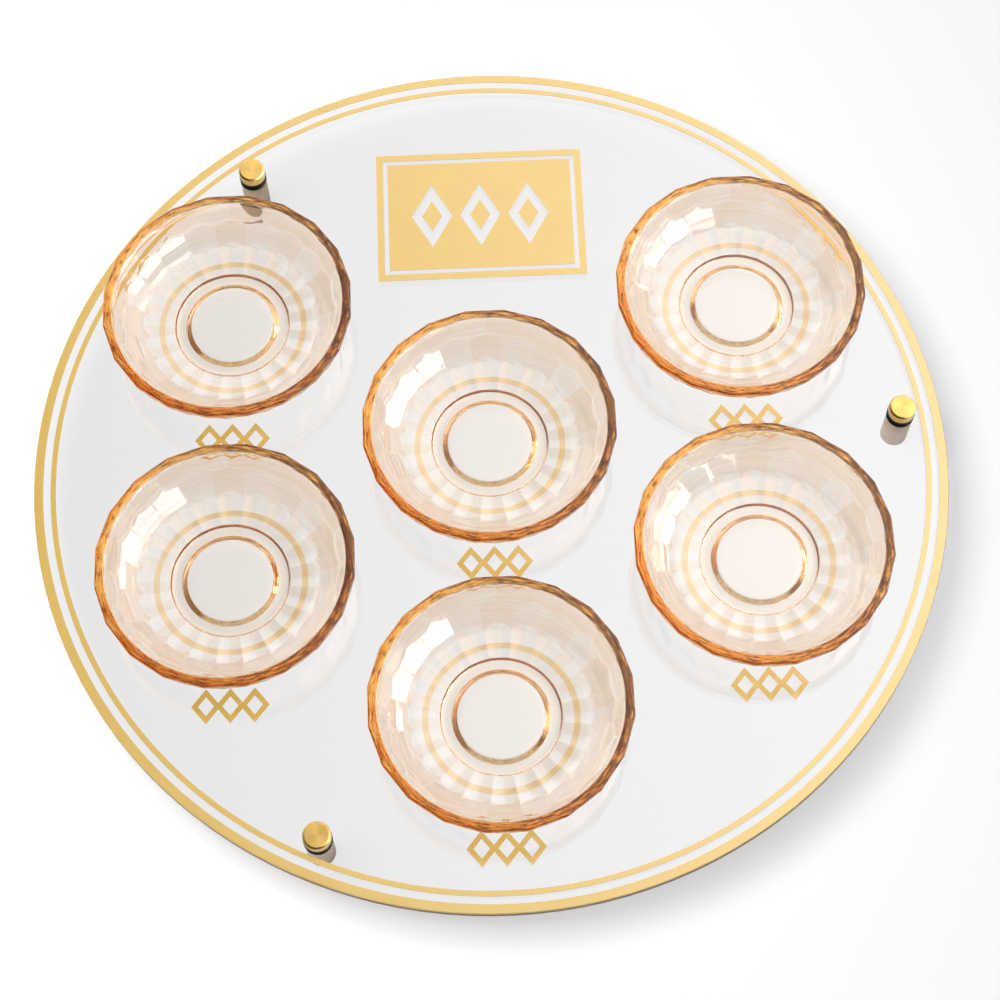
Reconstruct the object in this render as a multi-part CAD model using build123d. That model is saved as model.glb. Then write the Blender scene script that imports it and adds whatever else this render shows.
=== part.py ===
from build123d import *
import math
import os

# A round clear plate on three screwed standoffs, with a gold print and six loose faceted bowls.
# Millimetres, +Z up, origin on the table under the middle of the plate, front towards -Y.

# plate
plate_radius = 203.0
plate_thickness = 4.0
plate_edge_bevel = 0.3

# gold print, a thin foil on top of the plate
foil_thickness = 0.2
band_width = 3.9
band_to_ring_gap = 3.2
ring_width = 2.4
place_ring_radius = 33.7
place_ring_width = 2.6

# emblem, a framed panel near the back of the plate
emblem_width = 96.4
emblem_depth = 67.0
emblem_back_margin = 33.3
emblem_frame_width = 3.2
emblem_line_gap = 2.1
emblem_lozenge_count = 3
emblem_lozenge_pitch = 22.5
emblem_lozenge_width = 19.0
emblem_lozenge_height = 33.0
emblem_cut_width = 4.2

# label ornament in front of each bowl, a chain of lozenge outlines
label_height = 15.6
label_pitch = 10.4
label_line_width = 2.2
label_gap_from_bowl_axis = 56.0
label_lozenge_count = 3
front_label_margin = 10.0

# standoffs: cap with stud, two washers and a barrel
standoff_count = 3
standoff_first_angle = 5.0
standoff_inset = 17.5
barrel_diameter = 12.0
barrel_length = 20.0
barrel_bevel = 0.5
cap_diameter = 12.0
cap_height = 5.0
cap_bevel = 0.6
washer_diameter = 12.4
washer_thickness = 0.8
stud_diameter = 6.0
stud_engagement = 10.0
stud_end_room = 1.5
thread_clearance = 0.05
hole_clearance = 0.4

# bowls: heights are above the plate, radii are to the middle of a facet, insets are from the rim's radius
rim_radius = 55.4
bowl_height = 24.8
facet_count = 20
foot_outer_radius = 26.0
foot_height = 2.5
foot_edge_slant = 0.6
foot_contact_width = 4.2
foot_recess_slant = 2.6
foot_recess_height = 3.0
flute_depth = 0.6
shoulder_inset = 15.8
shoulder_height = 4.4
lower_row_inset = 5.3
lower_row_height = 13.0
upper_row_inset = 0.4
upper_row_height = 20.6
rim_bevel = 0.7
floor_height = 6.0
floor_flat_radius = 14.0
rim_wall = 4.0
hollow_guides = ((29.4, 6.0), (17.9, 7.4), (8.2, 14.6), (4.2, 20.6))

# places of the bowls on the plate
side_column_x = 115.0
back_row_y = 71.7
middle_row_y = -52.9
centre_column_pitch = 127.1

# levels and radii that follow from the sizes above
plate_bottom = barrel_length + washer_thickness
plate_top = plate_bottom + plate_thickness
standoff_circle = plate_radius - standoff_inset
band_outer_radius = plate_radius - plate_edge_bevel
band_inner_radius = band_outer_radius - band_width
ring_outer_radius = band_inner_radius - band_to_ring_gap
ring_inner_radius = ring_outer_radius - ring_width
emblem_centre_y = ring_inner_radius - emblem_back_margin - emblem_depth / 2
front_label_y = -(ring_inner_radius - front_label_margin - label_height / 2)
front_bowl_y = front_label_y + label_gap_from_bowl_axis
centre_bowl_y = front_bowl_y + centre_column_pitch
stud_radius = stud_diameter / 2
hole_radius = stud_radius + hole_clearance
bore_radius = stud_radius + thread_clearance
shoulder_radius = rim_radius - shoulder_inset
lower_row_radius = rim_radius - lower_row_inset
upper_row_radius = rim_radius - upper_row_inset
foot_contact_outer_radius = foot_outer_radius - foot_edge_slant
foot_contact_inner_radius = foot_contact_outer_radius - foot_contact_width
foot_recess_radius = foot_contact_inner_radius - foot_recess_slant
facet_angle = 360.0 / facet_count
standing = (Align.CENTER, Align.CENTER, Align.MIN)
bowl_places = {
    "back_left": (-side_column_x, back_row_y),
    "back_right": (side_column_x, back_row_y),
    "centre": (0.0, centre_bowl_y),
    "front_left": (-side_column_x, middle_row_y),
    "front_right": (side_column_x, middle_row_y),
    "front": (0.0, front_bowl_y),
}


def standoff_places():
    """Middle of each standoff on the plate, evenly round its circle."""
    step = 360.0 / standoff_count
    angles = [math.radians(standoff_first_angle + step * i) for i in range(standoff_count)]
    return [(standoff_circle * math.cos(a), standoff_circle * math.sin(a)) for a in angles]


def make_plate():
    disc = Cylinder(plate_radius, plate_thickness, align=standing)
    disc = chamfer(disc.edges(), plate_edge_bevel)
    for x, y in standoff_places():
        disc -= Pos(x, y, 0) * Cylinder(hole_radius, plate_thickness, align=standing)
    return Pos(0, 0, plate_bottom) * disc


def foil(outline):
    """A flat outline made into a foil that lies on the plate."""
    return Pos(0, 0, plate_top) * extrude(outline, amount=foil_thickness, dir=(0, 0, 1))


def foil_ring(outer_radius, inner_radius):
    return foil(Circle(outer_radius) - Circle(inner_radius))


def lozenge(width, height):
    corners = [(width / 2, 0), (0, height / 2), (-width / 2, 0), (0, -height / 2)]
    return make_face(Polyline(*corners, close=True))


def lozenge_inside(width, height, line):
    """The lozenge left inside an outline of the given line width."""
    inner_radius = width * height / (2 * math.hypot(width, height))
    share = 1 - line / inner_radius
    return lozenge(width * share, height * share)


def emblem_frame():
    outer = Rectangle(emblem_width, emblem_depth)
    inner = Rectangle(emblem_width - 2 * emblem_frame_width, emblem_depth - 2 * emblem_frame_width)
    return foil(Pos(0, emblem_centre_y) * (outer - inner))


def emblem_lozenge_places():
    middle = (emblem_lozenge_count - 1) / 2
    return [Pos((i - middle) * emblem_lozenge_pitch, emblem_centre_y) for i in range(emblem_lozenge_count)]


def emblem_panel():
    border = emblem_frame_width + emblem_line_gap
    panel = Pos(0, emblem_centre_y) * Rectangle(emblem_width - 2 * border, emblem_depth - 2 * border)
    for place in emblem_lozenge_places():
        panel -= place * lozenge(emblem_lozenge_width, emblem_lozenge_height)
    return foil(panel)


def emblem_lozenges():
    centre = lozenge_inside(emblem_lozenge_width, emblem_lozenge_height, emblem_cut_width)
    return Compound(children=[foil(place * centre) for place in emblem_lozenge_places()])


def label(place):
    """A chain of lozenge outlines, joined corner to corner, in front of a bowl."""
    x, y = place
    width = label_pitch + label_line_width
    outline = lozenge(width, label_height) - lozenge_inside(width, label_height, label_line_width)
    middle = (label_lozenge_count - 1) / 2
    chain = Sketch()
    for i in range(label_lozenge_count):
        chain += Pos(x + (i - middle) * label_pitch, y - label_gap_from_bowl_axis) * outline
    return foil(chain)


def barrel():
    body = Cylinder(barrel_diameter / 2, barrel_length, align=standing)
    body = chamfer(body.edges(), barrel_bevel)
    depth = stud_engagement + stud_end_room
    return body - Pos(0, 0, barrel_length - depth) * Cylinder(bore_radius, depth, align=standing)


def washer(bottom, inner_radius):
    ring = Cylinder(washer_diameter / 2, washer_thickness, align=standing)
    ring -= Cylinder(inner_radius, washer_thickness, align=standing)
    return Pos(0, 0, bottom) * ring


def cap():
    """The visible cap and, below it, the stud that screws into the barrel."""
    bottom = plate_top + washer_thickness
    stud_end = barrel_length - stud_engagement
    head = Cylinder(cap_diameter / 2, cap_height, align=standing)
    head = chamfer(head.edges().group_by(Axis.Z)[-1], cap_bevel)
    stud = Cylinder(stud_radius, bottom - stud_end, align=standing)
    return Pos(0, 0, bottom) * head + Pos(0, 0, stud_end) * stud


def ring_of_points(radii, first_angle):
    """Corner points at even angles, with the radii taken in turn."""
    step = 360.0 / len(radii)
    angles = [math.radians(first_angle + step * i) for i in range(len(radii))]
    return [(r * math.cos(a), r * math.sin(a)) for r, a in zip(radii, angles)]


def many_sided(radii, first_angle):
    return make_face(Polyline(*ring_of_points(radii, first_angle), close=True))


def facet_row(radius_low, height_low, radius_high, height_high, turn):
    """A tall many-sided cone whose flat sides are one row of facets, turned by a share of a facet."""
    slope = (radius_high - radius_low) / (height_high - height_low)
    to_corner = 1 / math.cos(math.radians(facet_angle / 2))
    sections = []
    for height in (0.0, bowl_height):
        radius = (radius_low + slope * (height - height_low)) * to_corner
        section = many_sided([radius] * facet_count, (turn + 0.5) * facet_angle)
        sections.append(Pos(0, 0, height) * section)
    return loft(sections, ruled=True)


def fluted_underside():
    """A star-shaped cone: ridges run out from the foot, with a valley halfway between two ridges."""
    ridge_slope = (shoulder_height - foot_height) / (shoulder_radius - foot_outer_radius)
    tip = foot_height - ridge_slope * foot_outer_radius
    valley_slope = (shoulder_height + flute_depth - tip) / shoulder_radius
    sections = []
    for height in (foot_height, bowl_height):
        ridge = (height - tip) / ridge_slope
        valley = (height - tip) / valley_slope
        sections.append(Pos(0, 0, height) * many_sided([ridge, valley] * facet_count, 0.0))
    return loft(sections, ruled=True)


def turned(*corners):
    """A solid turned about the Z axis from the corners of its half section."""
    return revolve(Plane.XZ * make_face(Polyline(*corners, close=True)), Axis.Z)


def foot():
    """A low round foot under the flutes, as a full disc."""
    middle = (floor_height + foot_height) / 2
    edge = [(foot_contact_outer_radius, 0), (foot_outer_radius, foot_height), (foot_outer_radius, middle)]
    return turned((0, 0), *edge, (0, middle))


def foot_recess():
    edge = [(foot_contact_inner_radius, 0), (foot_recess_radius, foot_recess_height)]
    return turned((0, 0), *edge, (0, foot_recess_height))


def halfway(first, second):
    return ((first[0] + second[0]) / 2, (first[1] + second[1]) / 2)


def bowl_inside():
    """The smooth hollow: a flat floor, then curves that touch the lines between guide points halfway along."""
    rim_inner = (rim_radius - rim_wall, bowl_height)
    guides = [(rim_radius - inset, height) for inset, height in hollow_guides]
    start = (floor_flat_radius, floor_height)
    wall = Line((0, floor_height), start)
    for guide, following in zip(guides, guides[1:] + [rim_inner]):
        end = halfway(guide, following)
        wall += Bezier(start, guide, end)
        start = end
    lid = Polyline(start, rim_inner, (0, bowl_height), (0, floor_height))
    return revolve(Plane.XZ * make_face(wall + lid), Axis.Z)


def make_bowl():
    """One bowl, standing at the origin: three rows of facets over a fluted underside and a foot."""
    lower = facet_row(shoulder_radius, shoulder_height, lower_row_radius, lower_row_height, 0.0)
    upper = facet_row(lower_row_radius, lower_row_height, upper_row_radius, upper_row_height, 0.5)
    collar = facet_row(upper_row_radius, upper_row_height, rim_radius, bowl_height, 0.0)
    bevel = facet_row(rim_radius, bowl_height - rim_bevel, rim_radius - rim_bevel, bowl_height, 0.0)
    outside = fluted_underside() & lower & upper & collar & bevel
    return outside + foot() - foot_recess() - bowl_inside()


def build_parts():
    parts = {
        "plate": make_plate(),
        "outer_band": foil_ring(band_outer_radius, band_inner_radius),
        "inner_ring": foil_ring(ring_outer_radius, ring_inner_radius),
        "emblem_frame": emblem_frame(),
        "emblem_panel": emblem_panel(),
        "emblem_lozenges": emblem_lozenges(),
    }
    for name, place in bowl_places.items():
        ring = foil_ring(place_ring_radius, place_ring_radius - place_ring_width)
        parts["label_" + name] = label(place)
        parts["place_ring_" + name] = Pos(*place, 0) * ring
    for number, (x, y) in enumerate(standoff_places(), start=1):
        place = Pos(x, y, 0)
        parts[f"barrel_{number}"] = place * barrel()
        parts[f"lower_washer_{number}"] = place * washer(barrel_length, hole_radius)
        parts[f"upper_washer_{number}"] = place * washer(plate_top, bore_radius)
        parts[f"cap_{number}"] = place * cap()
    bowl = make_bowl()
    for name, (x, y) in bowl_places.items():
        parts["bowl_" + name] = Pos(x, y, plate_top) * bowl
    return parts


os.makedirs("parts", exist_ok=True)
for node, shape in build_parts().items():
    export_step(shape, f"parts/{node}.step")
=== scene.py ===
"""Looks of a round clear plate on three brass standoffs, with a gold print and six faceted glass bowls.

Shapes are worked out in millimetres, with +Z up and z = 0 on the table, and go into the meshes in metres.
"""
import math

import bpy
import numpy as np
from mathutils import Matrix, Vector


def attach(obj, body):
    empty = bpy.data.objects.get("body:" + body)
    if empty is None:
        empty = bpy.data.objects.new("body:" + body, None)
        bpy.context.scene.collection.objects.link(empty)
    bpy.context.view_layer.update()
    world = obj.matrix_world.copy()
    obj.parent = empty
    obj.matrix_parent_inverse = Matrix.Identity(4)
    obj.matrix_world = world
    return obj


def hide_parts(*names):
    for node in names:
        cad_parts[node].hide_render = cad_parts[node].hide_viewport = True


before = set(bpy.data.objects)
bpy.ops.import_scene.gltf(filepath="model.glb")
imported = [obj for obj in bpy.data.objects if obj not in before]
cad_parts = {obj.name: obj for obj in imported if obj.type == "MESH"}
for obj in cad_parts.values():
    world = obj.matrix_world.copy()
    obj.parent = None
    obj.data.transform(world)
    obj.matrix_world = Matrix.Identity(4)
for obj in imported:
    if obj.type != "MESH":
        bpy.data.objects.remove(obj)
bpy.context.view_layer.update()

MILLIMETRE = 0.001
white = (1.0, 1.0, 1.0, 1.0)

# plate, and the painted reflection of the print seen in its edge: brown where shaded, gold towards the
# corners
plate_radius = 203.0
plate_bottom = 20.8
plate_top = 24.8
plate_edge_bevel = 0.3
acrylic_index = 1.49
plate_shadow = (0.74, 0.74, 0.74, 1.0)
painted_edge_share = 0.85
painted_edge_roughness = 0.5
painted_edge_blend = (-0.1, 0.05)
painted_edge_gold_width = 0.5
edge_painted_shade = (0.06, 0.032, 0.012, 1.0)
edge_painted_print_reflection = (0.66, 0.42, 0.06, 1.0)

# print: radii and thickness of its circles, and how far their corners are rounded
band_radii = (198.8, 202.7)
ring_radii = (193.2, 195.6)
foil_thickness = 0.2
foil_roundings = (0.02, 0.08, 0.08, 0.02)
foil_steps = 720
place_ring_radii = (31.1, 33.7)
place_ring_thickness = 0.1
place_ring_roundings = (0.02, 0.03, 0.03, 0.02)
place_ring_steps = 240
strip_sharp_angle = 12.0

# standoffs
standoff_circle = 185.5
standoff_angles = (5.0, 125.0, 245.0)
standoff_steps = 96
barrel_radius = 6.0
barrel_length = 20.0
barrel_roundings = (0.7, 0.7, 0.2, 0.2)
barrel_row_step = 1.0
cap_radius = 6.0
cap_height = 5.0
cap_chamfer = 0.7
cap_roundings = (0.4, 0.1, 0.15, 0.15, 0.15)
cap_row_step = 0.5
washer_radius = 6.2
washer_thickness = 0.8
washer_roundings = (0.3, 0.3, 0.1, 0.1)
cap_bottom = plate_top + washer_thickness
stud_radius = 3.0
stud_end_height = 10.0
bore_radius = 3.05
bore_depth = 11.5
hole_radius = 3.4
lower_pole_radius = 0.5
upper_pole_radius = 0.2
brass_sharp_angle = 40.0

# bowls: heights are above the plate, radii are to the middle of a facet
bowl_places = {
    "back_left": (-115.0, 71.7),
    "back_right": (115.0, 71.7),
    "centre": (0.0, 7.7),
    "front_left": (-115.0, -52.9),
    "front_right": (115.0, -52.9),
    "front": (0.0, -119.4),
}
facet_count = 20
steps_per_facet = 20
bowl_height = 24.8
bowl_pole_radius = 2.0
foot_recess = (18.6, 3.0)
foot_contact = (21.2, 25.4)
foot_contact_edge = 0.3
foot_air = 0.08
foot_top = (26.0, 2.5)
foot_roundings = (0.4, 0.4)
foot_joint_rounding = 0.05
underside_row_step = 2.5
reed_depth = 0.6
shoulder = (39.6, 4.4)
lower_row_top = (50.1, 13.0)
upper_row_top = (55.0, 20.6)
rim_radius = 55.4
rim_wall = 4.0
rim_rounding = 0.9
rim_rows = 6
facet_rounding = 0.06
shoulder_rounding = 0.4

# rows of the outer wall: the height where each spacing starts, and how many rows it has
wall_rows = ((0.25, 7), (2.3, 14), (3.8, 18), (5.4, 9), (11.4, 18), (14.7, 6), (18.8, 18), (22.4, 4))

# the bowls' hollow, from the floor up, and its soft facets
floor_height = 6.0
hollow_floor_edge = (26.0, 6.0)
hollow_shoulder = (38.4, 7.5)
hollow_wall = (43.0, 10.93)
hollow_row_break = (47.2, 14.9)
hollow_collar = (51.2, 22.0)
hollow_roundings = (8.0, 2.5, 5.5, 1.5, 1.5)
hollow_row_step = 1.0
hollow_facet_mean = 1.004
hollow_facet_share = 0.85
hollow_facet_rounding = 0.002
hollow_break_blend = 0.5
hollow_shoulder_blend = 0.8
hollow_collar_blend = 1.5

# glass zones by height above the plate: each pair is where a zone begins to show and where it is full
rim_zone = (20.9, 22.9)
foot_zone = (2.6, 2.3)
foot_lift = (0.1, 0.5)
reed_zone = (2.5, 2.8)
reed_zone_top = (5.4, 4.8)
wall_zone = (6.8, 9.0)
wall_edge = (7.2, 7.8)
scallop_height = 1.3
facet_zigzag = 1.1

# glass zones by distance along the profile, from the middle of the underside over the rim to the floor
foot_start = (14.0, 15.0)
reed_start = (24.0, 25.0)
rim_end = (71.6, 70.6)
hollow_start = (71.6, 72.6)

# glass patterns: streaks round the wall, painted light and shade on every other flank of the reeds, flecks in
# rim and foot, and the rim's painted light side
streak_count = 1.2
streak_width = 1.1
streak_range = (0.35, 0.68)
streak_share = 0.7
painted_flank_range = (-0.35, 0.35)
fleck_count = 9.0
fleck_width = 1 / 1.3
fleck_range = (0.34, 0.64)
# the rim's painted light: the angle of its lit side, and how far that side lightens its flecks
rim_painted_light_side = 195.0
rim_painted_light_shift = 0.14
rim_relief = 0.25
glass_ripple = 0.03
glass_index = 1.5

# glass colours
rim_brown = (0.10, 0.026, 0.003, 1.0)
rim_gold = (0.90, 0.42, 0.050, 1.0)
# the foot's amber is partly painted reflection: it stands for light held in the foot's wall by inner
# reflection
foot_brown = (0.45, 0.20, 0.04, 1.0)
foot_gold = (1.0, 0.72, 0.26, 1.0)
leaf_share = 0.30
leaf_roughness = 0.3
foot_leaf_share = 0.28
foot_leaf_paleness = 0.7
leaf_brown = (0.12, 0.036, 0.006, 1.0)
leaf_gold = (1.0, 0.46, 0.08, 1.0)
glass_streak = (0.97, 0.80, 0.62, 1.0)
# painted shade on every other flank of the reeds, in place of their light and dark reflections
flank_painted_shade = (0.95, 0.86, 0.76, 1.0)
# painted tone of the hollow's facets, for the light each facet reflects
facet_painted_tone = (0.92, 0.72, 0.57, 1.0)
glass_depth_colour = (0.88, 0.52, 0.10, 1.0)
glass_depth_density = 42.0

# gold, brass and rubber: the darkest and lightest colour of each finish, its roughness without a pattern
# and how far the pattern roughens it
foil_colours = ((0.59, 0.345, 0.012, 1.0), (0.68, 0.43, 0.03, 1.0))
foil_metallic = 0.3
foil_roughness = (0.30, 0.12)
foil_relief = 0.25
foil_coat = {"Coat IOR": 2.3, "Coat Roughness": 0.25}
pale_foil_colours = ((0.88, 0.66, 0.36, 1.0), (0.96, 0.78, 0.48, 1.0))
cap_colours = ((0.52, 0.30, 0.055, 1.0), (0.92, 0.64, 0.22, 1.0))
barrel_colours = ((0.94, 0.68, 0.46, 1.0), (1.0, 0.77, 0.55, 1.0))
# brass lightness from turning marks, clouds and a painted bow-tie highlight, whose phase sets where it lies
brass_mark_share = 0.4
brass_cloud_share = 0.2
brass_painted_highlight_share = 0.4
brass_anisotropy = 0.8
painted_highlight_phase = 1.4
mark_scale = 5.0
mark_stretch = 14.0
mark_roughening = 0.14
mark_relief = 0.03
rubber_black = (0.012, 0.011, 0.010, 1.0)
rubber_roughness = (0.15, 0.2)
rubber_relief = 0.3

# noise of the finishes, in cycles per metre, and how it roughens them
polish_scale = 40.0
polish_roughness = 0.012
ripple_scale = 110.0
foil_grain_scale = 1600.0
foil_cloud_scale = 60.0
brass_cloud_scale = 300.0
pebble_scale = 4000.0
even_noise = (0.3, 0.7)
fine_relief = 0.0001

# floor, in metres: where its bare glow grows to white, and how it looks through glass
floor_half = 4.0
floor_grey = (0.85, 0.85, 0.85, 1.0)
floor_bare_reach = (0.4, 1.0)
floor_bare_glow = (0.25, 1.0)
floor_reflected_glow = 0.2
floor_through_share = 0.75
floor_through_reach = (0.24, 0.45)
floor_through_glow = (0.92, 0.276)

# softboxes: place and size in metres, and radiance
softboxes = {
    "key_softbox": ((-0.58, 0.05, 1.25), (0.8, 0.8), 7.0),
    "fill_softbox": ((0, 0, 1.5), (2.0, 2.0), 1.0),
}

# panes of light at the right: azimuth and elevation in degrees, width and height in metres
panes = ((19, 11, 0.28, 0.40), (3, 18.5, 0.50, 0.66), (-20, 24.5, 0.56, 0.72), (-44, 28, 0.50, 0.66))
pane_distance = 2.0
pane_aim = (0, 0, 0.03)
pane_radiance = 8.0

# sky seen in gloss and glass: its two strengths, and where the bright quarter begins along x and y
sky_dim = 0.08
sky_bright = 2.55
sky_quarter = ((-0.22, 0.25), (-0.35, 0.05))
sky_back = (0.42, 0.62)
sky_back_share = 0.7

# camera: where it looks, from how far, and its angles
camera_target = (3.4, -18.8, plate_top)
camera_distance = 985.4
camera_elevation = 67.02
camera_azimuth = -1.1
camera_roll = 1.283
camera_lens = 80.3


def smooth_least(values, rounding):
    """The least of the values, rounded where two are close: -k log(sum of exp(-value / k))."""
    values = np.stack(np.broadcast_arrays(*values))
    least = values.min(axis=0)
    return least - rounding * np.log(np.exp((least - values) / rounding).sum(axis=0))


def smooth_most(values, rounding):
    """The most of the values, rounded where two are close."""
    return -smooth_least([-np.asarray(value) for value in values], rounding)


def smooth_step(values, low, high):
    """0 below low, 1 above high, and 3 t^2 - 2 t^3 between."""
    t = np.clip((values - low) / (high - low), 0, 1)
    return t * t * (3 - 2 * t)


def rounded_profile(corners, roundings, steps=6):
    """A line of (radius, height) points through the corners, each corner replaced by a parabola.

    The parabola starts and ends at the given distance from the corner along its two sides, and its points
    are (1-t)^2 start + 2 t (1-t) corner + t^2 end.
    """
    corners = np.asarray(corners, float)
    t = np.linspace(0, 1, steps)[:, None]
    pieces = [corners[:1]]
    for before, corner, after, size in zip(corners, corners[1:], corners[2:], roundings):
        start = corner + (before - corner) * min(0.5, size / np.linalg.norm(before - corner))
        end = corner + (after - corner) * min(0.5, size / np.linalg.norm(after - corner))
        pieces.append((1 - t) ** 2 * start + 2 * t * (1 - t) * corner + t**2 * end)
    pieces.append(corners[-1:])
    return np.concatenate(pieces)


def subdivided(profile, step):
    """The same line with points added so that none are further apart than the step."""
    lengths = np.linalg.norm(np.diff(profile, axis=0), axis=1)
    along = np.concatenate([[0], np.cumsum(lengths)])
    counts = np.maximum(1, np.ceil(lengths / step).astype(int))
    places = [np.linspace(a, b, n, endpoint=False) for a, b, n in zip(along, along[1:], counts)]
    places = np.concatenate(places + [along[-1:]])
    return np.stack([np.interp(places, along, profile[:, i]) for i in (0, 1)], axis=1)


def turned(profile, steps):
    """The grid of points that a (radius, height) profile sweeps round the z axis."""
    angles = np.linspace(0, 2 * np.pi, steps, endpoint=False)
    radius, height = profile[:, :1], profile[:, 1:]
    across = np.broadcast_to(height, (len(profile), steps))
    return np.stack([radius * np.cos(angles), radius * np.sin(angles), across], axis=2)


def put_piece(name, grid, centre, material, closed_profile=False, sharp_angle=None):
    """A mesh object from a grid of rows that each run once round, with rows joined to the next.

    An open profile is closed by a fan of triangles to a point on the axis at both its ends. A closed profile
    joins its last row to its first. The UV map holds the turn, from 0 to 1, and the distance along the
    profile in millimetres.
    """
    rows, steps = grid.shape[:2]
    index = np.arange(rows * steps).reshape(rows, steps)
    following = np.roll(index, -1, axis=1)
    start = np.arange(steps) / steps
    along = np.concatenate([[0], np.cumsum(np.linalg.norm(np.diff(grid[:, 0], axis=0), axis=1))])
    last = rows if closed_profile else rows - 1
    low, low_next = index[:last], following[:last]
    high, high_next = np.roll(index, -1, axis=0)[:last], np.roll(following, -1, axis=0)[:last]
    faces = np.stack([low, low_next, high_next, high], axis=-1).reshape(-1, 4).tolist()
    low_along, high_along = along[:last, None], np.append(along[1:], along[-1])[:last, None]
    finish = start + 1 / steps
    corners = [(start, low_along), (finish, low_along), (finish, high_along), (start, high_along)]
    turns = [np.stack(np.broadcast_arrays(turn, distance), axis=-1) for turn, distance in corners]
    turns = np.stack(turns, axis=2).reshape(-1, 2)
    points = grid.reshape(-1, 3)
    if not closed_profile:
        poles = grid[[0, -1]].mean(axis=1)
        first_pole, last_pole = len(points), len(points) + 1
        points = np.concatenate([points, poles])
        faces += np.stack([following[0], index[0], np.full(steps, first_pole)], axis=1).tolist()
        faces += np.stack([index[-1], following[-1], np.full(steps, last_pole)], axis=1).tolist()
        for order, distance in (((1, 0, 0.5), along[0]), ((0, 1, 0.5), along[-1])):
            fan = start[:, None] + np.array(order) / steps
            fan = np.stack(np.broadcast_arrays(fan, distance), axis=-1).reshape(-1, 2)
            turns = np.concatenate([turns, fan])
    points = (points + np.array([*centre])) * MILLIMETRE
    mesh = bpy.data.meshes.new(name)
    mesh.from_pydata(points.tolist(), [], faces)
    mesh.uv_layers.new(name="turning").uv.foreach_set("vector", turns.ravel())
    mesh.shade_smooth()
    if sharp_angle:
        mesh.set_sharp_from_angle(angle=math.radians(sharp_angle))
    mesh.materials.append(material)
    piece = bpy.data.objects.new(name, mesh)
    bpy.context.collection.objects.link(piece)
    return piece


def stand_in(piece, node, body):
    """The piece takes the place of a node and moves with its body."""
    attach(piece, body)
    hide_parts(node)


class Value:
    """A shader socket. Arithmetic on it adds Math nodes, so a formula reads as a plain expression."""

    def __init__(self, socket):
        self.socket = socket

    def combine(self, operation, first, second):
        tree = self.socket.id_data
        return add_node(tree, "ShaderNodeMath", {"operation": operation}, {0: first, 1: second})

    def __add__(self, other):
        return self.combine("ADD", self, other)

    def __radd__(self, other):
        return self.combine("ADD", other, self)

    def __sub__(self, other):
        return self.combine("SUBTRACT", self, other)

    def __rsub__(self, other):
        return self.combine("SUBTRACT", other, self)

    def __mul__(self, other):
        return self.combine("MULTIPLY", self, other)

    def __rmul__(self, other):
        return self.combine("MULTIPLY", other, self)

    def greater(self, other):
        return self.combine("MAXIMUM", self, other)


def add_node(tree, kind, settings=None, inputs=None, output=0):
    """Adds a node, makes its settings, then sets or links its inputs. Gives back one output as a Value."""
    node = tree.nodes.new(kind)
    for name, setting in (settings or {}).items():
        setattr(node, name, setting)
    for name, given in (inputs or {}).items():
        socket = node.inputs[name]
        if isinstance(given, Value):
            tree.links.new(given.socket, socket)
        else:
            socket.default_value = given
    return Value(node.outputs[output])


def new_material(name):
    """An empty material and its node tree."""
    material = bpy.data.materials.new(name)
    material.use_nodes = True
    material.node_tree.nodes.clear()
    return material, material.node_tree


def finish_material(tree, surface, volume=None):
    """Links the shaders to the material's output."""
    inputs = {"Surface": surface}
    if volume:
        inputs["Volume"] = volume
    output = tree.nodes.new("ShaderNodeOutputMaterial")
    for name, given in inputs.items():
        tree.links.new(given.socket, output.inputs[name])


def ray_kind(tree, name):
    """What the light path says of a ray, such as whether the camera sent it."""
    node = tree.nodes.new("ShaderNodeLightPath")
    return Value(node.outputs[name])


def noise(tree, place, scale, detail=2.0, roughness=0.5):
    """Soft noise between 0 and 1, mostly near the middle."""
    inputs = {"Vector": place, "Scale": scale, "Detail": detail, "Roughness": roughness}
    return add_node(tree, "ShaderNodeTexNoise", None, inputs)


def object_place(tree):
    """The place in the object, in metres."""
    node = tree.nodes.new("ShaderNodeTexCoord")
    return Value(node.outputs["Object"])


def ramp(tree, value, low, high, bottom=0.0, top=1.0, kind="SMOOTHSTEP"):
    """A smooth or straight step of a value, from bottom at low to top at high."""
    inputs = {"Value": value, "From Min": low, "From Max": high, "To Min": bottom, "To Max": top}
    return add_node(tree, "ShaderNodeMapRange", {"interpolation_type": kind}, inputs)


def mixed(tree, share, first, second):
    """A colour between two colours."""
    inputs = {"Factor": share, "A": first, "B": second}
    return add_node(tree, "ShaderNodeMix", {"data_type": "RGBA"}, inputs, output=2)


def part_of(tree, vector, axis):
    """One of the three numbers of a vector."""
    return add_node(tree, "ShaderNodeSeparateXYZ", None, {0: vector}, output=axis)


def scaled(tree, vector, factors):
    """A vector whose three numbers are each multiplied by a factor."""
    return add_node(tree, "ShaderNodeVectorMath", {"operation": "MULTIPLY"}, {0: vector, 1: factors})


def length(tree, vector):
    """The length of a vector."""
    return add_node(tree, "ShaderNodeVectorMath", {"operation": "LENGTH"}, {0: vector}, output=1)


def relief(tree, height, distance, strength=1.0):
    """The surface's direction where a height pattern raises it by up to a distance in metres."""
    inputs = {"Strength": strength, "Distance": distance, "Height": height}
    return add_node(tree, "ShaderNodeBump", None, inputs)


def principled(tree, inputs):
    """A surface from its colour, roughness and the like."""
    return add_node(tree, "ShaderNodeBsdfPrincipled", None, inputs)


def blend(tree, share, first, second):
    """A surface between two surfaces."""
    return add_node(tree, "ShaderNodeMixShader", None, {0: share, 1: first, 2: second})


def turning_place(tree):
    """The piece's own UV map: the turn round its axis and the distance along its profile."""
    return Value(tree.nodes.new("ShaderNodeUVMap").outputs[0])


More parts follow.
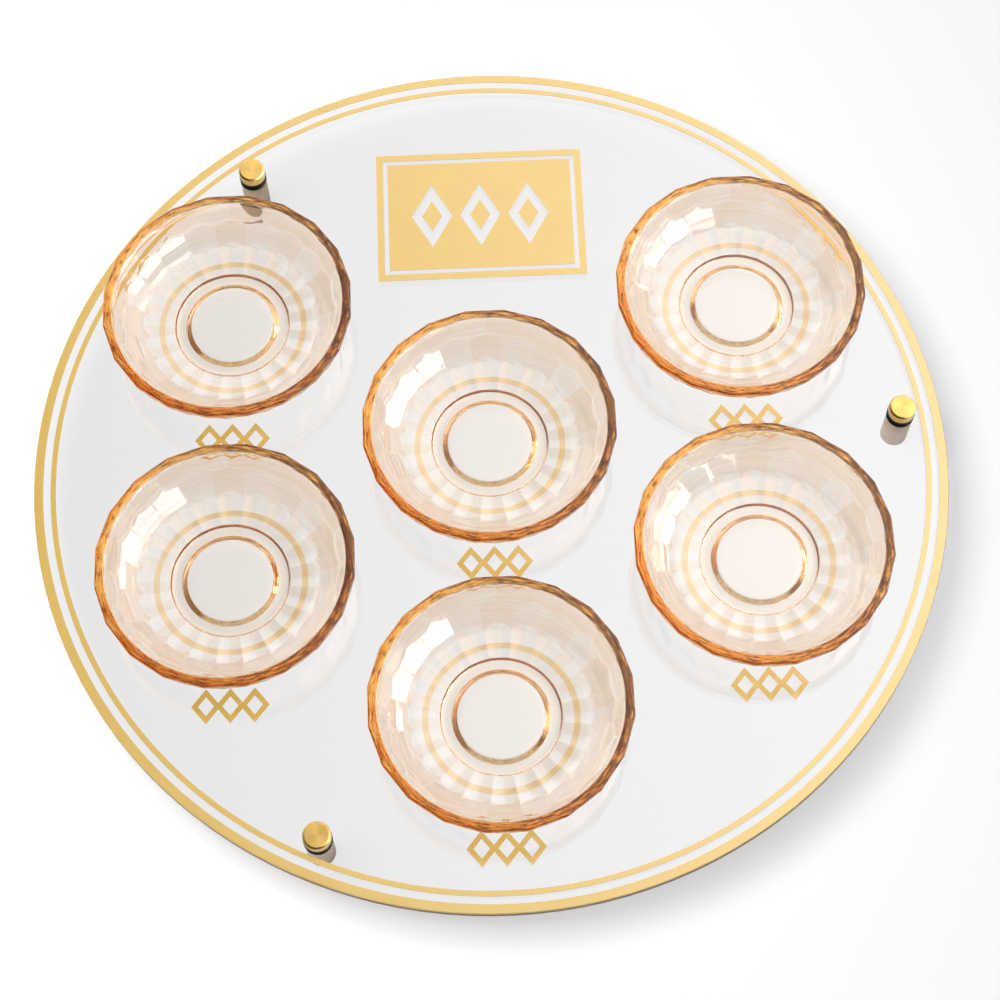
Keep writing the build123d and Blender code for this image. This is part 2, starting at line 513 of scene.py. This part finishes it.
def clear_surface(tree, inputs, shadow_colour):
    """A clear, nearly even refracting surface that lets shadow rays through."""
    roughness = polish_roughness * noise(tree, object_place(tree), polish_scale, 3.0)
    inputs = {"Transmission Weight": 1.0, "Roughness": roughness, **inputs}
    open_way = add_node(tree, "ShaderNodeBsdfTransparent", None, {"Color": shadow_colour})
    return blend(tree, ray_kind(tree, "Is Shadow Ray"), principled(tree, inputs), open_way)


def acrylic_material():
    """Colourless polished acrylic. Its edge wears a painted reflection of the print: brown on the wall, where
    that reflection is shaded, and gold on the corners.
    """
    material, tree = new_material("clear_acrylic")
    place = object_place(tree)
    surface = clear_surface(tree, {"Base Color": white, "IOR": acrylic_index}, plate_shadow)

    off_middle = 1000 * part_of(tree, place, 2) - (plate_bottom + plate_top) / 2
    off_middle = off_middle.combine("ABSOLUTE", off_middle, 0)
    half = (plate_top - plate_bottom) / 2 - plate_edge_bevel
    # painted reflection of the print in the edge: shaded brown in the middle of the wall, gold towards the
    # corners
    colour = mixed(tree, ramp(tree, off_middle, half - painted_edge_gold_width, half), edge_painted_shade, edge_painted_print_reflection)
    painted_edge_surface = principled(tree, {"Base Color": colour, "Roughness": painted_edge_roughness})
    reach = length(tree, scaled(tree, place, (1.0, 1.0, 0.0)))
    past_bevel = 1000 * reach - (plate_radius - plate_edge_bevel)
    edge = ramp(tree, past_bevel, *painted_edge_blend)
    finish_material(tree, blend(tree, painted_edge_share * edge, surface, painted_edge_surface))
    return material


def round_noise(tree, angle, along, count, width):
    """Noise drawn out round the bowl: count sets how often it changes, and width how wide a stroke is."""
    place = {0: count * angle.combine("COSINE", angle, 0), 1: count * angle.combine("SINE", angle, 0)}
    place[2] = along * (1 / width)
    return noise(tree, add_node(tree, "ShaderNodeCombineXYZ", None, place), 1.0, 3.0, 0.6)


def painted_facet_tones(tree, turn, height):
    """One random painted tone for each facet of the hollow, standing in for the differing light its flat
    facets reflect. Its two rows of facets meet in a zigzag line.
    """
    facets_round = facet_count * turn
    zigzag = facets_round.combine("PINGPONG", facets_round, 0.5)
    over_break = height - hollow_row_break[1] + facet_zigzag * (4 * zigzag - 1)
    upper_row = over_break.combine("GREATER_THAN", over_break, 0)
    number = facets_round + 0.5 - 0.5 * upper_row
    number = number.combine("FLOOR", number, 0)
    facet = add_node(tree, "ShaderNodeCombineXYZ", None, {0: number, 1: upper_row})
    return add_node(tree, "ShaderNodeTexWhiteNoise", {"noise_dimensions": "2D"}, {"Vector": facet})


def amber_glass_material():
    """Pale amber pressed glass, clear in the floor, streaky in the wall and mottled amber in foot and rim.

    The depth of the glass tints it. On top of that, its surface is tinted by zones: streaks that run round
    the wall, a painted tone for each facet of the hollow that stands in for the light each facet reflects,
    painted shade on every other flank of the reeds for their light and dark reflections, and flecks of gold
    and brown in foot and rim. The foot's amber is partly a painted reflection of light held in its wall. The
    rim is painted lighter on one side, as if lit from there, and the hollow's tint ends above the floor in
    scallops.
    """
    material, tree = new_material("amber_glass")
    place = object_place(tree)
    height = 1000 * part_of(tree, place, 2) - plate_top
    turning = turning_place(tree)
    turn, along = part_of(tree, turning, 0), part_of(tree, turning, 1)
    angle = 2 * math.pi * turn

    rim = ramp(tree, height, *rim_zone) * ramp(tree, along, *rim_end)
    foot = ramp(tree, height, *foot_zone) * ramp(tree, height, *foot_lift) * ramp(tree, along, *foot_start)
    reeds = ramp(tree, height, *reed_zone) * ramp(tree, height, *reed_zone_top)
    reeds = reeds * ramp(tree, along, *reed_start)
    inside = ramp(tree, along, *hollow_start)
    petal = facet_count / 2 * angle
    petal = petal.combine("COSINE", petal, 0)
    petal = petal.combine("ABSOLUTE", petal, 0)
    outer_wall = ramp(tree, height, *wall_zone) * (1 - inside)
    inner_wall = ramp(tree, height - scallop_height * petal, *wall_edge) * inside

    mottle = round_noise(tree, angle, along, fleck_count, fleck_width)
    # painted light: the rim's flecks are lighter on one side and darker on the other, as if lit from that
    # side
    off_painted_light_side = angle - math.radians(rim_painted_light_side)
    side = off_painted_light_side.combine("COSINE", off_painted_light_side, 0)
    fleck_and_painted_light_share = ramp(tree, mottle + rim_painted_light_shift * rim * side, *fleck_range)
    streaks = ramp(tree, round_noise(tree, angle, along, streak_count, streak_width), *streak_range)
    # painted light and shade: every other flank of the reeds is tinted darker
    painted_flank = facet_count * angle
    painted_flank = ramp(tree, painted_flank.combine("SINE", painted_flank, 0), *painted_flank_range)

    tint = mixed(tree, streak_share * (outer_wall + inner_wall) * streaks, white, glass_streak)
    # painted reflection: a random darker tone on each facet of the hollow
    tint = mixed(tree, inner_wall * painted_facet_tones(tree, turn, height), tint, facet_painted_tone)
    tint = mixed(tree, reeds * painted_flank, tint, flank_painted_shade)
    # the foot's amber flecks, partly a painted reflection of light held in its wall
    tint = mixed(tree, foot, tint, mixed(tree, fleck_and_painted_light_share, foot_brown, foot_gold))
    tint = mixed(tree, rim, tint, mixed(tree, fleck_and_painted_light_share, rim_brown, rim_gold))

    ripples = glass_ripple * noise(tree, place, ripple_scale, 1.0) + rim_relief * rim * mottle
    bump = relief(tree, ripples, MILLIMETRE)
    surface = clear_surface(tree, {"Base Color": tint, "IOR": glass_index, "Normal": bump}, white)
    pale_foot = foot_leaf_paleness * foot
    leaf = {
        "Base Color": mixed(tree, fleck_and_painted_light_share.greater(pale_foot), leaf_brown, leaf_gold),
        "Metallic": 1 - pale_foot,
        "Roughness": leaf_roughness,
        "Normal": bump,
    }
    leaf_part = leaf_share * rim + foot_leaf_share * foot
    surface = blend(tree, leaf_part, surface, principled(tree, leaf))
    depth = {"Color": glass_depth_colour, "Density": glass_depth_density}
    finish_material(tree, surface, add_node(tree, "ShaderNodeVolumeAbsorption", None, depth))
    return material


def gold_foil_material(name, colours, coat):
    """Printed gold: a satin film with a fine sparkle, faint clouds and a clear top coat."""
    material, tree = new_material(name)
    place = object_place(tree)
    grain = ramp(tree, noise(tree, place, foil_grain_scale, 2.0), *even_noise)
    clouds = noise(tree, place, foil_cloud_scale, 3.0)
    surface = {
        "Base Color": mixed(tree, 0.5 * clouds + 0.5 * grain, *colours),
        "Metallic": foil_metallic,
        "Roughness": foil_roughness[0] + foil_roughness[1] * clouds,
        "Normal": relief(tree, grain, fine_relief, strength=foil_relief),
        "Coat Weight": coat,
        **foil_coat,
    }
    finish_material(tree, principled(tree, surface))
    return material


def brushed_brass_material(name, colours, metallic, roughness):
    """Brass with turning marks: noise on the UV map, fine across the marks and long round the piece's axis.

    Two lighter sectors like a fan, a painted bow-tie highlight such as turned metal shows, follow the cosine
    of twice the turn.
    """
    material, tree = new_material(name)
    turning = turning_place(tree)
    fine_marks = noise(tree, scaled(tree, turning, (mark_stretch, 1.0, 1.0)), mark_scale, 3.0, 0.7)
    # painted highlight: two lighter sectors round the turn
    fan = 4 * math.pi * part_of(tree, turning, 0) + painted_highlight_phase
    fan = 0.5 + 0.5 * fan.combine("COSINE", fan, 0)
    clouds = noise(tree, object_place(tree), brass_cloud_scale, 2.0)
    marks = ramp(tree, fine_marks, *even_noise)
    lightness = brass_mark_share * marks + brass_cloud_share * clouds + brass_painted_highlight_share * fan
    surface = {
        "Base Color": mixed(tree, lightness, *colours),
        "Metallic": metallic,
        "Roughness": roughness + mark_roughening * fine_marks,
        "Anisotropic": brass_anisotropy,
        "Normal": relief(tree, mark_relief * fine_marks, MILLIMETRE),
    }
    finish_material(tree, principled(tree, surface))
    return material


def rubber_material():
    """Glossy black rubber with a fine pebbled surface."""
    material, tree = new_material("black_rubber")
    pebbles = noise(tree, object_place(tree), pebble_scale, 2.0)
    surface = {
        "Base Color": rubber_black,
        "Roughness": rubber_roughness[0] + rubber_roughness[1] * pebbles,
        "Normal": relief(tree, pebbles, fine_relief, strength=rubber_relief),
    }
    finish_material(tree, principled(tree, surface))
    return material


def floor_material():
    """A floor that keeps the object's shadow and is plain white further off.

    Through glass it looks nearly even, and darker far from the plate.
    """
    material, tree = new_material("studio_floor")
    reach = length(tree, object_place(tree))
    bare = ramp(tree, reach, *floor_bare_reach, *floor_bare_glow)
    seen, reflected = ray_kind(tree, "Is Camera Ray"), ray_kind(tree, "Is Glossy Ray")
    strength = bare * seen + floor_reflected_glow * reflected
    glow = add_node(tree, "ShaderNodeEmission", None, {"Color": white, "Strength": strength})
    lit = add_node(tree, "ShaderNodeBsdfDiffuse", None, {"Color": floor_grey})
    lit = add_node(tree, "ShaderNodeAddShader", None, {0: lit, 1: glow})
    near = ramp(tree, reach, *floor_through_reach, *floor_through_glow)
    even = add_node(tree, "ShaderNodeEmission", None, {"Color": white, "Strength": near})
    through = floor_through_share * ray_kind(tree, "Is Transmission Ray")
    finish_material(tree, blend(tree, through, lit, even))
    return material


def facet_flat(angles, heights, low, high, turn):
    """Radii of one row of flat facets: the facet's plane lies at R(z) from the axis, so r = R(z) / cos(a).

    R runs straight through the low and high (radius, height) points, and a is the angle from the middle of
    the nearest facet. The facets on both sides are given too, so that the least of the three can be rounded.
    """
    slope = (high[0] - low[0]) / (high[1] - low[1])
    middle_radius = low[0] + slope * (heights - low[1])
    pitch = 2 * np.pi / facet_count
    nearest = np.round(angles / pitch - turn) + turn
    return [middle_radius / np.cos(angles - (nearest + side) * pitch) for side in (-1, 0, 1)]


def reed_radius(angles, heights):
    """Radius of the reeded underside: a flat cone whose slope grows with the square of the angle off a ridge.

    With s = s_ridge + (s_groove - s_ridge) (a / w)^2, where a is the angle from the nearest ridge and w the
    angle from ridge to groove, the cone z = tip + s r gives r = (z - tip) / s.
    """
    ridge_slope = (shoulder[1] - foot_top[1]) / (shoulder[0] - foot_top[0])
    tip = foot_top[1] - ridge_slope * foot_top[0]
    groove_slope = (shoulder[1] + reed_depth - tip) / shoulder[0]
    half = np.pi / facet_count
    off_ridge = np.abs((angles / half + 1) % 2 - 1)
    return (heights - tip) / (ridge_slope + (groove_slope - ridge_slope) * off_ridge**2)


def round_points(radii, angles, heights):
    """The grid of points at the given radii, angles and heights."""
    heights = np.broadcast_to(heights, radii.shape)
    return np.stack([radii * np.cos(angles), radii * np.sin(angles), heights], axis=2)


def wall_radii(angles, heights):
    """Radii of the outer wall: the smooth least of three rows of facets and the reeded cone.

    The foot is joined on by a smooth most.
    """
    lower = facet_flat(angles, heights, shoulder, lower_row_top, 0.0)
    upper = facet_flat(angles, heights, lower_row_top, upper_row_top, 0.5)
    collar = facet_flat(angles, heights, upper_row_top, (rim_radius, bowl_height), 0.0)
    facets = smooth_least(lower + upper + collar, facet_rounding)
    body = smooth_least([facets, reed_radius(angles, heights)], shoulder_rounding)
    foot_slope = (foot_top[0] - foot_contact[1]) / foot_top[1]
    foot = foot_contact[1] + foot_slope * np.minimum(heights, foot_top[1])
    return smooth_most([body, foot], foot_joint_rounding)


def hollow_points(angles):
    """Points of the hollow, from the rim down to the floor: a turned profile with soft facets in its wall.

    A facet adds a share of 1 / cos(a) less its mean, where a is the angle from the facet's middle. It fades
    out at the shoulder and the collar, and the lower row fades into the upper one at the break.
    """
    rim_inner = rim_radius - rim_wall
    corners = [(rim_inner + rim_rounding, bowl_height), (rim_inner, bowl_height)]
    corners += [hollow_collar, hollow_row_break, hollow_wall, hollow_shoulder, hollow_floor_edge]
    corners.append((bowl_pole_radius, floor_height))
    profile = subdivided(rounded_profile(corners, (rim_rounding, *hollow_roundings[::-1])), hollow_row_step)
    radius, height = profile[:, :1], profile[:, 1:]
    shoulder_height, break_height, collar_height = hollow_shoulder[1], hollow_row_break[1], hollow_collar[1]
    above_break = smooth_step(height, break_height - hollow_break_blend, break_height + hollow_break_blend)
    above_shoulder = smooth_step(height, shoulder_height, shoulder_height + hollow_shoulder_blend)
    above_collar = smooth_step(height, collar_height, collar_height + hollow_collar_blend)
    ripple = 0
    for turn, share in ((0.0, above_shoulder * (1 - above_break)), (0.5, (1 - above_collar) * above_break)):
        planes = facet_flat(angles, height, (1.0, 0.0), (1.0, 1.0), turn)
        ripple = ripple + share * (smooth_least(planes, hollow_facet_rounding) - hollow_facet_mean)
    return round_points(radius * (1 + hollow_facet_share * ripple), angles, height)


def bowl_grid():
    """Points of one bowl: underside, foot, faceted wall, rim, softly faceted hollow and floor, in order."""
    steps = facet_count * steps_per_facet
    angles = np.linspace(0, 2 * np.pi, steps, endpoint=False)[None, :]
    wall_top = bowl_height - rim_rounding
    ends = [start for start, count in wall_rows[1:]] + [wall_top]
    stretches = zip(wall_rows, ends)
    levels = [np.linspace(start, end, count, endpoint=False) for (start, count), end in stretches]
    levels = np.append(np.concatenate(levels), wall_top)[:, None]
    radii = wall_radii(angles, levels)
    wall = round_points(radii, angles, levels)

    contact_inner, contact_outer = foot_contact
    corners = [(bowl_pole_radius, foot_recess[1]), foot_recess, (contact_inner, foot_air)]
    corners.append((contact_outer - foot_contact_edge, foot_air))
    underside = turned(subdivided(rounded_profile(corners, foot_roundings), underside_row_step), steps)

    curl = np.linspace(0, np.pi / 2, rim_rows)[1:, None]
    rim_radii = radii[-1] - rim_rounding * (1 - np.cos(curl))
    rim = round_points(rim_radii, angles, wall_top + rim_rounding * np.sin(curl))
    return np.concatenate([underside, wall, rim, hollow_points(angles)])


def make_bowls(material):
    """Six bowls of one shape. They cast no shadow, as their glass would only darken the plate."""
    grid = bowl_grid()
    for place, (x, y) in bowl_places.items():
        bowl = put_piece(f"glass_bowl_{place}", grid, (x, y, plate_top), material)
        bowl.visible_shadow = False
        stand_in(bowl, f"bowl_{place}", f"bowl_{place}")


def strip_profile(radii, bottom, thickness, roundings, steps):
    """A flat strip's outline as (radius, height) points, from the middle of its underside and round to it."""
    inner, outer = radii
    top = bottom + thickness
    middle = ((inner + outer) / 2, bottom)
    corners = [middle, (outer, bottom), (outer, top), (inner, top), (inner, bottom), middle]
    return rounded_profile(corners, roundings, steps)[:-1]


def put_strip(name, profile, steps, centre, material, node):
    """A printed circle on the plate, as a turned strip. It casts no shadow."""
    grid = turned(profile, steps)
    strip = put_piece(name, grid, centre, material, closed_profile=True, sharp_angle=strip_sharp_angle)
    strip.visible_shadow = False
    stand_in(strip, node, "plate")


def make_print(gold, pale_gold):
    """The gold circles, with a hair of rounding. The other prints keep their solids."""
    for node, radii in {"outer_band": band_radii, "inner_ring": ring_radii}.items():
        profile = strip_profile(radii, plate_top, foil_thickness, foil_roundings, 3)
        put_strip(f"gold_{node}", profile, foil_steps, (0, 0, 0), gold, node)
    profile = strip_profile(place_ring_radii, 0, place_ring_thickness, place_ring_roundings, 3)
    for place, (x, y) in bowl_places.items():
        centre = (x, y, plate_top)
        put_strip(f"gold_ring_{place}", profile, place_ring_steps, centre, pale_gold, f"place_ring_{place}")


def barrel_profile():
    """A barrel's outline: its underside, wall and top, and the bore down to its end."""
    bore_end = barrel_length - bore_depth
    corners = [(lower_pole_radius, 0), (barrel_radius, 0), (barrel_radius, barrel_length)]
    corners += [(bore_radius, barrel_length), (bore_radius, bore_end), (upper_pole_radius, bore_end)]
    return subdivided(rounded_profile(corners, barrel_roundings), barrel_row_step)


def cap_profile():
    """A cap's outline: up its stud, out along its underside, and up its chamfered wall to its top."""
    stud_end = stud_end_height - cap_bottom
    corners = [(lower_pole_radius, stud_end), (stud_radius, stud_end), (stud_radius, 0), (cap_radius, 0)]
    corners += [(cap_radius, cap_height - cap_chamfer), (cap_radius - cap_chamfer, cap_height)]
    corners.append((upper_pole_radius, cap_height))
    return subdivided(rounded_profile(corners, cap_roundings), cap_row_step)


def make_standoffs(brass, satin_brass, rubber):
    """Barrels, washers and caps as turned pieces."""
    barrel = turned(barrel_profile(), standoff_steps)
    cap = turned(cap_profile(), standoff_steps)
    for number, angle in enumerate(standoff_angles, start=1):
        x = standoff_circle * math.cos(math.radians(angle))
        y = standoff_circle * math.sin(math.radians(angle))
        sharp = brass_sharp_angle
        piece = put_piece(f"brass_barrel_{number}", barrel, (x, y, 0), satin_brass, sharp_angle=sharp)
        stand_in(piece, f"barrel_{number}", "plate")
        piece = put_piece(f"brass_cap_{number}", cap, (x, y, cap_bottom), brass, sharp_angle=sharp)
        stand_in(piece, f"cap_{number}", f"cap_{number}")
        for side, bottom, inner in (("lower", barrel_length, hole_radius), ("upper", plate_top, bore_radius)):
            washer = strip_profile((inner, washer_radius), 0, washer_thickness, washer_roundings, 6)
            grid = turned(washer, standoff_steps)
            name = f"rubber_washer_{side}_{number}"
            piece = put_piece(name, grid, (x, y, bottom), rubber, closed_profile=True)
            body = "plate" if side == "lower" else f"upper_washer_{number}"
            stand_in(piece, f"{side}_washer_{number}", body)


def make_floor():
    """One square of floor at z = 0."""
    mesh = bpy.data.meshes.new("floor")
    corners = [(x * floor_half, y * floor_half, 0) for x, y in ((-1, -1), (1, -1), (1, 1), (-1, 1))]
    mesh.from_pydata(corners, [], [(0, 1, 2, 3)])
    mesh.materials.append(floor_material())
    floor = bpy.data.objects.new("floor", mesh)
    bpy.context.collection.objects.link(floor)


def area_light(name, place, aim, size, radiance, along=(1, 0, 0)):
    """A rectangular softbox that faces its aim and shines evenly: power = pi area radiance.

    Its first side lies along the given direction, as nearly as facing the aim allows.
    """
    lamp = bpy.data.lights.new(name, "AREA")
    lamp.shape = "RECTANGLE"
    lamp.size, lamp.size_y = size
    lamp.energy = math.pi * size[0] * size[1] * radiance
    box = bpy.data.objects.new(name, lamp)
    behind = (Vector(place) - Vector(aim)).normalized()
    across = behind.cross(Vector(along)).normalized()
    turn = Matrix((across.cross(behind), across, behind)).transposed().to_4x4()
    box.matrix_world = Matrix.Translation(place) @ turn
    bpy.context.collection.objects.link(box)
    return box


def unless_matt(tree):
    """1 on paths that have met no matt surface yet, else 0."""
    matt_bounces = ray_kind(tree, "Diffuse Depth")
    return matt_bounces.combine("LESS_THAN", matt_bounces, 0.5)


def make_lights():
    """Softboxes that light matt surfaces and cast the shadow, and panes that show only in gloss and glass."""
    for name, (place, size, radiance) in softboxes.items():
        softbox = area_light(name, place, (0, 0, 0), size, radiance)
        softbox.visible_glossy = False
        softbox.visible_transmission = False
    for number, (azimuth, elevation, *size) in enumerate(panes, start=1):
        azimuth, elevation = math.radians(azimuth), math.radians(elevation)
        level = pane_distance * math.cos(elevation)
        place = (level * math.cos(azimuth), level * math.sin(azimuth), pane_distance * math.sin(elevation))
        pane = area_light(f"pane_{number}", place, pane_aim, size, pane_radiance, (-place[1], place[0], 0))
        pane.visible_diffuse = False
        pane.data.use_nodes = True
        tree = pane.data.node_tree
        tree.links.new(unless_matt(tree).socket, tree.nodes["Emission"].inputs["Strength"])


def make_sky():
    """What gloss and glass see around them: a dim room with one bright quarter, back and right.

    The quarter's strength is the product of a straight step along x and a smooth step along y. Low at the
    back, a weaker glow goes on to the left. The camera itself sees plain white.
    """
    world = bpy.data.worlds.new("studio")
    bpy.context.scene.world = world
    world.cycles_visibility.diffuse = False
    world.use_nodes = True
    tree = world.node_tree
    direction = Value(tree.nodes.new("ShaderNodeTexCoord").outputs["Generated"])
    to_right, to_back = part_of(tree, direction, 0), part_of(tree, direction, 1)
    quarter = ramp(tree, to_right, *sky_quarter[0], kind="LINEAR") * ramp(tree, to_back, *sky_quarter[1])
    glow = quarter.greater(sky_back_share * ramp(tree, to_back, *sky_back))
    strength = (sky_dim + (sky_bright - sky_dim) * glow) * unless_matt(tree)
    strength = strength.greater(ray_kind(tree, "Is Camera Ray"))
    background = tree.nodes["Background"]
    background.inputs["Color"].default_value = white
    tree.links.new(strength.socket, background.inputs["Strength"])


def make_camera():
    """The camera stands at its distance from the target along a line set by elevation and azimuth."""
    lens = bpy.data.cameras.new("photo_camera")
    lens.lens = camera_lens
    lens.sensor_width = 36.0
    lens.clip_start = 0.01
    camera = bpy.data.objects.new("photo_camera", lens)
    bpy.context.collection.objects.link(camera)
    elevation = math.radians(camera_elevation)
    azimuth = math.radians(camera_azimuth)
    roll = math.radians(camera_roll)
    back = Vector((
        math.cos(elevation) * math.sin(azimuth),
        -math.cos(elevation) * math.cos(azimuth),
        math.sin(elevation),
    ))
    level_right = Vector((math.cos(azimuth), math.sin(azimuth), 0))
    level_up = back.cross(level_right)
    right = math.cos(roll) * level_right - math.sin(roll) * level_up
    up = math.sin(roll) * level_right + math.cos(roll) * level_up
    place = (Vector(camera_target) + camera_distance * back) * MILLIMETRE
    turn = Matrix((right, up, back)).transposed().to_4x4()
    camera.matrix_world = Matrix.Translation(place) @ turn
    bpy.context.scene.camera = camera


acrylic = acrylic_material()
glass = amber_glass_material()
gold = gold_foil_material("gold_foil", foil_colours, coat=1.0)
pale_gold = gold_foil_material("pale_gold_foil", pale_foil_colours, coat=0.2)
brass = brushed_brass_material("brushed_brass", cap_colours, metallic=1.0, roughness=0.24)
satin_brass = brushed_brass_material("satin_brass", barrel_colours, metallic=0.1, roughness=0.45)
rubber = rubber_material()

for name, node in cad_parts.items():
    kept = acrylic
    if name.startswith(("label", "emblem")):
        kept = gold
        node.visible_shadow = False
    elif name.startswith(("barrel", "cap")):
        kept = brass
    elif "washer" in name:
        kept = rubber
    node.data.materials.clear()
    node.data.materials.append(kept)

make_bowls(glass)
make_print(gold, pale_gold)
make_standoffs(brass, satin_brass, rubber)
make_floor()
make_lights()
make_sky()
make_camera()
bpy.context.scene.view_settings.view_transform = "Standard"
bpy.context.scene.cycles.glossy_bounces = 16
bpy.context.scene.cycles.transmission_bounces = 16
bpy.context.scene.cycles.max_bounces = 24
